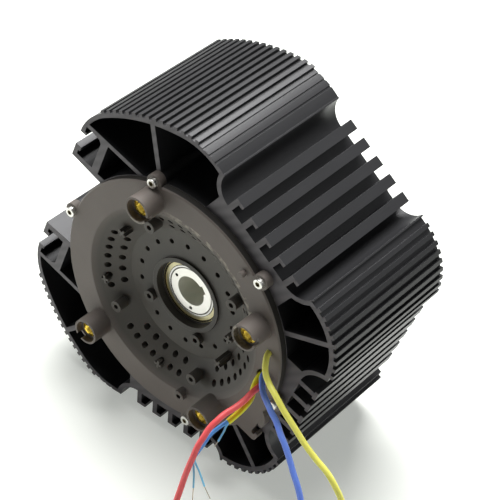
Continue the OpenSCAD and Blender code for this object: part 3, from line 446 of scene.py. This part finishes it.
def set_out(name, pattern, places, material, turn_of_each=1.9):
    """Sets copies of a pattern out on given places, each turned on from the last, as one plain mesh."""
    points = bpy.data.meshes.new(name + "_places")
    points.from_pydata(places, [], [])
    holder = bpy.data.objects.new(name, points)
    bpy.context.scene.collection.objects.link(holder)
    tree = bpy.data.node_groups.new(name + "_layout", "GeometryNodeTree")
    tree.interface.new_socket("Geometry", in_out="INPUT", socket_type="NodeSocketGeometry")
    pattern_input = tree.interface.new_socket("Pattern", in_out="INPUT", socket_type="NodeSocketObject")
    turn_input = tree.interface.new_socket("Turn of each", in_out="INPUT", socket_type="NodeSocketFloat")
    tree.interface.new_socket("Geometry", in_out="OUTPUT", socket_type="NodeSocketGeometry")
    given = add_node(tree, "NodeGroupInput")
    shape = add_node(tree, "GeometryNodeObjectInfo", inputs={"Object": given.outputs["Pattern"]})
    number = add_node(tree, "GeometryNodeInputIndex")
    spin = add_node(tree, "ShaderNodeMath", {"operation": "MULTIPLY"},
                    {0: number.outputs[0], 1: given.outputs["Turn of each"]})
    turn = add_node(tree, "ShaderNodeCombineXYZ", inputs={"Y": spin.outputs[0]})
    copies = add_node(tree, "GeometryNodeInstanceOnPoints",
                      inputs={"Points": given.outputs["Geometry"], "Instance": shape.outputs["Geometry"],
                              "Rotation": turn.outputs[0]})
    plain = add_node(tree, "GeometryNodeRealizeInstances", inputs={"Geometry": copies.outputs[0]})
    coated = add_node(tree, "GeometryNodeSetMaterial",
                      inputs={"Geometry": plain.outputs[0], "Material": material})
    add_node(tree, "NodeGroupOutput", inputs={"Geometry": coated.outputs[0]})
    layout = holder.modifiers.new("layout", "NODES")
    layout.node_group = tree
    layout[pattern_input.identifier] = pattern
    layout[turn_input.identifier] = turn_of_each
    depsgraph = bpy.context.evaluated_depsgraph_get()
    result = bpy.data.meshes.new_from_object(holder.evaluated_get(depsgraph))
    holder.modifiers.clear()
    result.name = name
    holder.data = result
    bpy.data.meshes.remove(points)
    return holder


def head_radius(radius, height, k):
    """Cuts the hexagon socket and the knurl into the screw's head."""
    if radius == socket_r:
        return socket_w / 2 / math.cos(math.radians(360 / head_sides * k % 60 - 30))
    if radius == head_r and height > 0:
        return radius - knurl * (k % 2)
    return radius


def thread_radius(radius, height, k):
    """Rolls the thread into the screw's shank."""
    row = round((thread_top - height) / thread_pitch * thread_steps)
    step = round(row + k * thread_steps / thread_sides)
    return radius - (thread_r - thread_core) * ridge_at(step, thread_steps)


# The zinc is bright and slightly uneven, and the sockets hold dark oil.
zinc, tree, shader, place = start_finish("bright_zinc_plating")
dull = add_node(tree, "ShaderNodeTexNoise",
                inputs={"Vector": place, "Scale": 1 / plating_cloud, "Detail": 3})
shine = add_node(tree, "ShaderNodeMapRange",
                 inputs={"Value": dull.outputs["Fac"], "To Min": 0.2, "To Max": 0.38})
tree.links.new(shine.outputs[0], shader.inputs["Roughness"])
oily = add_node(tree, "ShaderNodeAttribute", {"attribute_name": "in_socket"}).outputs["Fac"]
tone = add_node(tree, "ShaderNodeMix", {"data_type": "RGBA"},
                {0: oily, 6: linear("#d3d2cc"), 7: linear("#8f8258")})
tree.links.new(tone.outputs[2], shader.inputs["Base Color"])
metal = add_node(tree, "ShaderNodeMapRange", inputs={"Value": oily, "To Min": 1, "To Max": 0.1})
tree.links.new(metal.outputs[0], shader.inputs["Metallic"])

head_rows = [(head_r, 0), (head_r, lead_in), (head_r, head_h - crown)]
head_rows += [(head_r - crown + crown * math.cos(math.radians(bow)),
               head_h - crown + crown * math.sin(math.radians(bow))) for bow in (25, 50, 70, 90)]
head_rows += [(socket_r + lead_in / 2, head_h), (socket_r, head_h - lead_in), (socket_r, socket_floor),
              (socket_tip_r, socket_floor - socket_tip_l)]
thread_rows = [(thread_r, thread_top - k * thread_pitch / thread_steps)
               for k in range(int((screw_l + thread_top) / thread_pitch * thread_steps))]
shape = bmesh.new()
for rings in (add_rings(shape, head_rows, head_sides, head_radius),
              add_rings(shape, thread_rows, thread_sides, thread_radius)):
    shape.faces.new(rings[0])
    shape.faces.new(rings[-1])
front_screw = finish_turned(shape, "screw_pattern", zinc)
marks = front_screw.data.attributes.new("in_socket", "FLOAT", "POINT")
for vertex in front_screw.data.vertices:
    within = vertex.co.xz.length < socket_r - lead_in / 2
    sunk = socket_floor - 2 * socket_tip_l < -vertex.co.y < head_h - lead_in / 2
    marks.data[vertex.index].value = float(within and sunk)
back_mesh = front_screw.data.copy()
for vertex in back_mesh.vertices:
    vertex.co.y = -vertex.co.y
back_mesh.flip_normals()
rear_screw = bpy.data.objects.new("rear_screw_pattern", back_mesh)
screw_turns = [screw_start + math.radians(60 * k) for k in range(6)]
seats = {"front": (front_screw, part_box("front_screws")[0][1] + head_h),
         "rear": (rear_screw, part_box("rear_screws")[1][1] - head_h)}
for side, (pattern, seat_y) in seats.items():
    screws = set_out(side + "_cover_screws", pattern,
                     [(screw_ring_r * math.cos(a), seat_y, screw_ring_r * math.sin(a)) for a in screw_turns],
                     zinc)
    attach(screws, "frame")
    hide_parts(side + "_screws")
    bpy.data.objects.remove(pattern)

# Inserts: turned brass with a cut M8 thread and a chamfered mouth, pressed into the cups' floors. The
# brass is bright and a little uneven.
insert_r, insert_l = 0.0063, 0.012
insert_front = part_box("brass_inserts")[0][1]
chamfer, mouth = 0.0003, 0.0004
m8_core, m8_major, m8_pitch, m8_top = 0.0034, 0.004, 0.00125, 0.0007
m8_steps, insert_sides, brass_cloud = 8, 48, 0.002
cup_places = [(79.8, 103.9), (79.8, 220.6), (76.8, 301.8), (76.8, 21.3)]  # millimetres, degrees

brass, tree, shader, place = start_finish("turned_brass")
dull = add_node(tree, "ShaderNodeTexNoise", inputs={"Vector": place, "Scale": 1 / brass_cloud, "Detail": 3})
tone = add_node(tree, "ShaderNodeMix", {"data_type": "RGBA"},
                {0: dull.outputs["Fac"], 6: linear("#e0b83c"), 7: linear("#f6da62")})
tree.links.new(tone.outputs[2], shader.inputs["Base Color"])
shine = add_node(tree, "ShaderNodeMapRange",
                 inputs={"Value": dull.outputs["Fac"], "To Min": 0.2, "To Max": 0.34})
tree.links.new(shine.outputs[0], shader.inputs["Roughness"])
shader.inputs["Metallic"].default_value = 1


def insert_radius(radius, height, k):
    """Cuts the thread into the insert's bore, between its mouth and its far end."""
    if radius > m8_core or height <= -insert_l:
        return radius
    row = round((-m8_top - height) / m8_pitch * m8_steps)
    step = round(row + k * m8_steps / insert_sides)
    return radius + (m8_major - m8_core) * ridge_at(step, m8_steps)


insert_rows = [(m8_core, -insert_l), (insert_r - chamfer, -insert_l), (insert_r, chamfer - insert_l),
               (insert_r, -mouth), (insert_r - mouth, 0), (m8_major + chamfer, 0)]
insert_rows += [(m8_core, -m8_top - k * m8_pitch / m8_steps)
                for k in range(int((insert_l - 2 * mouth) / m8_pitch * m8_steps))]
insert_rows.append((m8_core, -insert_l))
shape = bmesh.new()
add_rings(shape, insert_rows, insert_sides, insert_radius)
bmesh.ops.remove_doubles(shape, verts=shape.verts, dist=0.000001)
insert = finish_turned(shape, "insert_pattern", brass)
insert_places = [(r / 1000 * math.cos(math.radians(a)), insert_front, r / 1000 * math.sin(math.radians(a)))
                 for r, a in cup_places]
inserts = set_out("threaded_inserts", insert, insert_places, brass)
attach(inserts, "frame")
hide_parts("brass_inserts")
bpy.data.objects.remove(insert)

# Phase wires: stranded copper in soft silicone, led out through the cover's rim. The length that
# isn't needed is wound in a coil of two layers with a tie, and each ends in a ring terminal. A route's
# points are in millimetres; a coil has its centre, and the turns where it starts and ends.
wire_d = 0.0041
coil_r = 0.024
tail_l, tail_dip = 0.020, math.radians(9.3)
floor_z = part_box("housing")[0][2]
under_coil = 0.00135
low_layer = floor_z + under_coil + wire_d / 2
high_layer = low_layer + wire_d
mottle_size, skin_grain, skin_grain_h = 0.004, 0.0008, 0.00003
routes = {
    "yellow": [(81, 3.1, 11), (81, -8, 11), (81, -20.6, 11), (83, -25, 8), (86, -28.5, 4), (91, -31, 0),
               (99, -34, -3), (108, -36, -9), (119, -37, -17), (129, -38, -24), (138, -38, -30),
               (147, -38, -35), (154, -38, -42), (159, -37, -51), (163, -37, -62), (165, -38, -74),
               (167, -41, -86), (170, -47, -97), (175, -55, -106), (182, -64, -111)],
    "blue": [(79.2, 3.1, -8.6), (79.2, -8, -8.6), (79.2, -20.6, -8.6), (82.2, -25.5, -10.4),
             (86, -29, -13), (93, -33, -15), (99, -36, -17), (105, -38, -20), (111, -41, -24),
             (117, -43, -29), (123, -45, -36), (128, -47, -42), (134, -49, -49), (139, -51, -57),
             (143, -53, -66), (146, -56, -76), (148, -60, -86), (149, -66, -96), (149, -74, -105),
             (148, -84, -111)],
    "red": [(80.8, 3.1, -13.2), (80.8, -8, -13.2), (80.8, -20.6, -13.2), (80.4, -25.5, -14.6),
            (80, -32, -15.5), (80, -40, -17), (79, -47, -18.5), (77, -54, -20), (76, -60, -22),
            (74.5, -66, -26), (74, -71, -31), (73, -75, -37), (72.5, -78, -44), (71.5, -80, -51),
            (70.5, -82, -59), (70, -85, -69), (69, -88, -81), (69, -92, -93), (70, -98, -103),
            (72, -107, -110)],
}
coils = {"yellow": (0.2079, -0.0571, 221.6, 320), "blue": (0.1709, -0.0972, 174.7, 275),
         "red": (0.0982, -0.1117, 195.2, 235)}


def soft_insulation(name, pale, deep):
    """Soft silicone is satin and slightly see-through, with a faint mottle and a fine skin."""
    material, tree, shader, place = start_finish(name)
    mottle = add_node(tree, "ShaderNodeTexNoise",
                      inputs={"Vector": place, "Scale": 1 / mottle_size, "Detail": 3})
    tone = add_node(tree, "ShaderNodeMix", {"data_type": "RGBA"},
                    {0: mottle.outputs["Fac"], 6: linear(deep), 7: linear(pale)})
    tree.links.new(tone.outputs[2], shader.inputs["Base Color"])
    skin = add_node(tree, "ShaderNodeTexNoise",
                    inputs={"Vector": place, "Scale": 1 / skin_grain, "Detail": 2})
    bump = add_node(tree, "ShaderNodeBump",
                    inputs={"Height": skin.outputs["Fac"], "Distance": skin_grain_h, "Strength": 0.5})
    tree.links.new(bump.outputs[0], shader.inputs["Normal"])
    shader.inputs["Roughness"].default_value = 0.42
    shader.inputs["Subsurface Weight"].default_value = 0.08
    shader.inputs["Subsurface Radius"].default_value = (0.002, 0.002, 0.002)
    shader.inputs["Subsurface Scale"].default_value = 1
    return material


def lay_cord(name, points, diameter, material):
    """Lays a round cord along points as one smooth open curve."""
    curve = bpy.data.curves.new(name, "CURVE")
    curve.dimensions = "3D"
    curve.bevel_depth = diameter / 2
    curve.bevel_resolution = 5
    curve.use_fill_caps = True
    line = curve.splines.new("BEZIER")
    line.resolution_u = 6
    line.bezier_points.add(len(points) - 1)
    for knot, point in zip(line.bezier_points, points):
        knot.co = point
        knot.handle_left_type = knot.handle_right_type = "AUTO"
    curve.materials.append(material)
    cord = bpy.data.objects.new(name, curve)
    bpy.context.scene.collection.objects.link(cord)
    return cord


def coil_points(x, y, first_turn, last_turn):
    """Gives the points of a coil that climbs to its second layer, and of its straight tail."""
    sweep = last_turn + 360 - first_turn
    steps = round(sweep / 20)
    points = []
    for k in range(steps + 1):
        swept = k * sweep / steps
        rise = min(max((swept - (sweep - 360)) / (720 - sweep), 0), 1)
        rise = rise * rise * (3 - 2 * rise)
        angle = math.radians(first_turn + swept)
        points.append(Vector((x + coil_r * math.cos(angle), y + coil_r * math.sin(angle),
                              low_layer + rise * (high_layer - low_layer))))
    end_turn = math.radians(last_turn)
    tail = Vector((-math.sin(end_turn) * math.cos(tail_dip), math.cos(end_turn) * math.cos(tail_dip),
                   -math.sin(tail_dip)))
    return points + [points[-1] + tail * tail_l * share for share in (0.5, 1)]


finishes = {"yellow": soft_insulation("yellow_silicone", "#fffc80", "#fff868"),
            "red": soft_insulation("red_silicone", "#ff6a6c", "#f65458"),
            "blue": soft_insulation("blue_silicone", "#7c9fff", "#6a8efc")}
for colour, route in routes.items():
    points = [Vector(p) / 1000 for p in route] + coil_points(*coils[colour])
    wire = lay_cord(colour + "_wire", points, wire_d, finishes[colour])
    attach(wire, "frame")
    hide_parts(colour + "_phase_wire", colour + "_wire_coil")

# Sensor leads: three thin leads in a blue inner sleeve inside a yellow outer sleeve, cut short, so
# that their ends are bare. The routes' points are in millimetres.
inner_d, lead_d, strand_d, strand_grain = 0.0026, 0.0013, 0.0006, 0.0004
sleeve_route = [(76, 3.1, -12.4), (76, -8, -12.4), (76, -20.6, -12.4), (76.4, -25.5, -16.9),
                (79.4, -32, -20.8), (80.2, -40, -23.4), (79.2, -46, -26), (78, -52, -28.4)]
inner_route = [(77.9, -52.5, -27.8), (76, -58, -30), (74, -63, -33.5), (73, -69, -39.5), (71, -74, -47)]
lead_routes = {"sensor_lead_a": [(78.1, -51.7, -29.7), (78, -53.6, -30.9), (78.4, -56, -33.4),
                                 (78.3, -58.5, -36.2), (78.2, -61, -39), (78, -64, -41.5)],
               "sensor_lead_b": [(70.2, -74.1, -47.1), (70.5, -75.4, -49.4), (72.5, -77, -53),
                                 (75, -79, -60), (76.8, -81, -67), (77.5, -82, -77)],
               "sensor_lead_c": [(71.6, -74.3, -47.4), (72.1, -75.5, -49.5), (74, -76.3, -51.4),
                                 (77, -77, -54), (84, -79, -62), (90, -80, -68)]}

bright_yellow = soft_insulation("bright_yellow_sleeving", "#f8f422", "#eeea12")
azure = soft_insulation("azure_insulation", "#6cb8ff", "#549eff")
light_blue = soft_insulation("light_blue_insulation", "#9ce0ff", "#80d2ff")

# The strands are tinned copper, dull and twisted.
strands, tree, shader, place = start_finish("tinned_strands")
twist = add_node(tree, "ShaderNodeTexNoise", inputs={"Vector": place, "Scale": 1 / strand_grain})
tone = add_node(tree, "ShaderNodeMix", {"data_type": "RGBA"},
                {0: twist.outputs["Fac"], 6: linear("#8f8778"), 7: linear("#cfc6b4")})
tree.links.new(tone.outputs[2], shader.inputs["Base Color"])
shader.inputs["Metallic"].default_value = 1
shader.inputs["Roughness"].default_value = 0.4

sleeve_points = [Vector(p) / 1000 for p in sleeve_route]
sleeve = lay_cord("sensor_outer_sleeve", sleeve_points, wire_d, bright_yellow)
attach(sleeve, "frame")
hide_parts("sensor_sleeve")
inner = lay_cord("sensor_blue_sleeve", [Vector(p) / 1000 for p in inner_route], inner_d, azure)
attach(inner, "frame")
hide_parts("sensor_inner_sleeve")
for name, route in lead_routes.items():
    points = [Vector(p) / 1000 for p in route]
    lead = lay_cord(name + "_wire", points[:-1], lead_d, light_blue)
    bare = lay_cord(name + "_bare_end", [points[-2].lerp(points[-3], 0.2), *points[-2:]], strand_d, strands)
    for made in (lead, bare):
        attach(made, "frame")
        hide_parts(name)

# Ties and terminals: moulded nylon ties round the coils, black and satin, and ring terminals of tinned
# copper crimped on the wires, bright but smeared.
tie_grain, tin_smear = 0.0005, 0.0025

black_nylon, tree, shader, place = start_finish("black_nylon")
grain = add_node(tree, "ShaderNodeTexNoise", inputs={"Vector": place, "Scale": 1 / tie_grain})
tone = add_node(tree, "ShaderNodeMix", {"data_type": "RGBA"},
                {0: grain.outputs["Fac"], 6: linear("#1a1a1b"), 7: linear("#272728")})
tree.links.new(tone.outputs[2], shader.inputs["Base Color"])
shader.inputs["Roughness"].default_value = 0.4
coat("coil_ties", black_nylon)

tinned, tree, shader, place = start_finish("tinned_copper")
smear = add_node(tree, "ShaderNodeTexNoise", inputs={"Vector": place, "Scale": 1 / tin_smear, "Detail": 4})
tone = add_node(tree, "ShaderNodeMix", {"data_type": "RGBA"},
                {0: smear.outputs["Fac"], 6: linear("#b9b5ab"), 7: linear("#d9d5cc")})
tree.links.new(tone.outputs[2], shader.inputs["Base Color"])
shine = add_node(tree, "ShaderNodeMapRange",
                 inputs={"Value": smear.outputs["Fac"], "To Min": 0.28, "To Max": 0.5})
tree.links.new(shine.outputs[0], shader.inputs["Roughness"])
shader.inputs["Metallic"].default_value = 1
coat("ring_terminals", tinned)

# Table: a wide pale matt sheet under the motor, which keeps its soft shadow. To the camera and in
# reflections it is lifted to white, with no more light on the motor.
table_reach = 6


def seen_plainly(tree):
    """Gives 1 to the rays that show what they meet: the camera's, reflected and see-through ones."""
    path = add_node(tree, "ShaderNodeLightPath")
    shown = add_node(tree, "ShaderNodeMath", {"operation": "MAXIMUM"},
                     {0: path.outputs["Is Camera Ray"], 1: path.outputs["Is Glossy Ray"]})
    shown = add_node(tree, "ShaderNodeMath", {"operation": "MAXIMUM"},
                     {0: shown.outputs[0], 1: path.outputs["Is Transmission Ray"]})
    return shown.outputs[0]


table_mesh = bpy.data.meshes.new("table")
corners = [(-1, -1), (1, -1), (1, 1), (-1, 1)]
table_mesh.from_pydata([(x * table_reach, y * table_reach, floor_z) for x, y in corners], [],
                       [(0, 1, 2, 3)])
table = bpy.data.objects.new("table", table_mesh)
bpy.context.scene.collection.objects.link(table)
paper = bpy.data.materials.new("white_table")
paper.use_nodes = True
tree = paper.node_tree
tree.nodes.clear()
matt = add_node(tree, "ShaderNodeBsdfDiffuse", inputs={"Color": linear("#dcded9")})
glow = add_node(tree, "ShaderNodeEmission", inputs={"Color": linear("#f4f8f2"), "Strength": 0.4})
lifted = add_node(tree, "ShaderNodeAddShader", inputs={0: matt.outputs[0], 1: glow.outputs[0]})
either = add_node(tree, "ShaderNodeMixShader",
                  inputs={0: seen_plainly(tree), 1: matt.outputs[0], 2: lifted.outputs[0]})
add_node(tree, "ShaderNodeOutputMaterial", inputs={"Surface": either.outputs[0]})
table_mesh.materials.append(paper)

# Light: a wide soft box over the table, weaker ones from the left and the right, and a pale room that
# is nearly dark but for the camera and reflections.
world = bpy.data.worlds.new("pale_room")
bpy.context.scene.world = world
world.use_nodes = True
tree = world.node_tree
backdrop = tree.nodes["Background"]
backdrop.inputs["Color"].default_value = linear("#eef0f2")
strength = add_node(tree, "ShaderNodeMapRange",
                    inputs={"Value": seen_plainly(tree), "To Min": 0.015, "To Max": 0.5})
tree.links.new(strength.outputs[0], backdrop.inputs["Strength"])


def soft_box(name, place, size, power):
    """Hangs a rectangular area light that faces the motor."""
    lamp = bpy.data.lights.new(name, "AREA")
    lamp.shape = "RECTANGLE"
    lamp.size, lamp.size_y = size
    lamp.energy = power
    box = bpy.data.objects.new(name, lamp)
    box.location = place
    box.rotation_euler = (-Vector(place)).to_track_quat("-Z", "Y").to_euler()
    bpy.context.scene.collection.objects.link(box)


soft_box("top_box", (-0.3, 0.4, 1.3), (1.2, 1.0), 52)
soft_box("left_box", (-1.2, -0.6, -0.02), (0.5, 0.4), 3)
soft_box("right_box", (1.2, 0.3, 0.8), (0.6, 0.6), 1.4)

# Camera: it looks down on the front cover from the right, with a long lens. The front face's middle
# lies a little to the left of the picture's and below it.
turn, tilt, roll = (math.radians(v) for v in (36.28, 40.10, 5.18))
distance, off_right, off_up = 1.1982, -0.04755, -0.03339
level = Vector((math.cos(turn), math.sin(turn), 0))
flat_ahead = Vector((-math.sin(turn), math.cos(turn), 0))
ahead = flat_ahead * math.cos(tilt) - Vector((0, 0, math.sin(tilt)))
upright = flat_ahead * math.sin(tilt) + Vector((0, 0, math.cos(tilt)))
right = level * math.cos(roll) + upright * math.sin(roll)
up = upright * math.cos(roll) - level * math.sin(roll)
camera_data = bpy.data.cameras.new("camera")
camera_data.lens = 132.77
camera_data.sensor_width = 36
camera_data.clip_start, camera_data.clip_end = 0.05, 50
camera = bpy.data.objects.new("camera", camera_data)
camera.matrix_world = Matrix((right, up, -ahead)).transposed().to_4x4()
camera.location = Vector((0, sawn_front, 0)) - (right * off_right + up * off_up + ahead * distance)
bpy.context.scene.collection.objects.link(camera)
bpy.context.scene.camera = camera
bpy.context.scene.view_settings.view_transform = "Standard"
